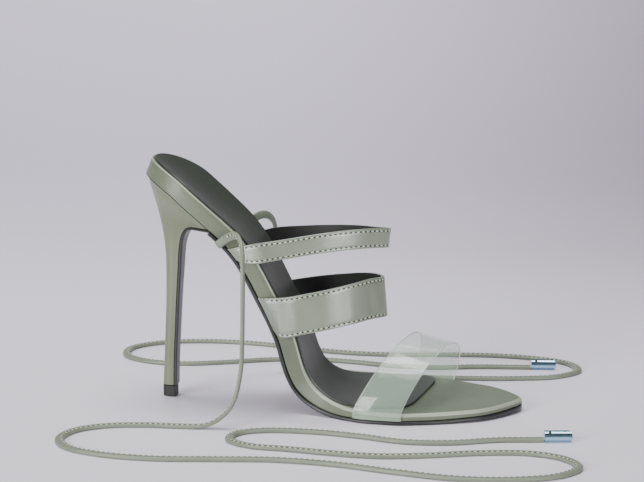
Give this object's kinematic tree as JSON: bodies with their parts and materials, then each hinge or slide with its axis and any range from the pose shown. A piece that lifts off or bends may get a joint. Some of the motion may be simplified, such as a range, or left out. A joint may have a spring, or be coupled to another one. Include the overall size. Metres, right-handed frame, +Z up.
{
  "type": "strappy heeled sandal",
  "caption": "Open stiletto sandal with a thin bent sole, wrapped board, instep straps, a clear toe strap and long ankle ties lying uncoiled.",
  "frame": {"origin": "on the floor, under the middle of the shoe's bounding box, measured without the ties and their ends", "axes": "+X towards the toe, +Y towards the inner side of the foot, +Z up"},
  "size_m": [0.2697, 0.2486, 0.1279],
  "materials": {
    "board_leather": "smooth sage leather wrapped round the board's side",
    "sock_lining": "dark smooth lining with a slight sheen",
    "sole_leather": "black sole leather, edge inked",
    "heel_leather": "smooth sage leather cover",
    "tip_rubber": "hard black top piece",
    "strap_leather": "satin sage leather, black inside, pale stitches",
    "clear_vinyl": "clear glossy vinyl",
    "tie_cord": "folded and stitched sage cord",
    "aglet_metal": "light blue bright metal"
  },
  "bodies": {
    "root": {"insole_board": "board_leather", "sock": "sock_lining", "outsole": "sole_leather", "heel": "heel_leather", "heel_tip": "tip_rubber", "instep_strap_narrow": "strap_leather", "instep_strap_wide": "strap_leather", "toe_strap_clear": "clear_vinyl", "tie_outer": "tie_cord", "tie_inner": "tie_cord", "aglet_outer": "aglet_metal", "aglet_inner": "aglet_metal"}
  },
  "joints": []
}
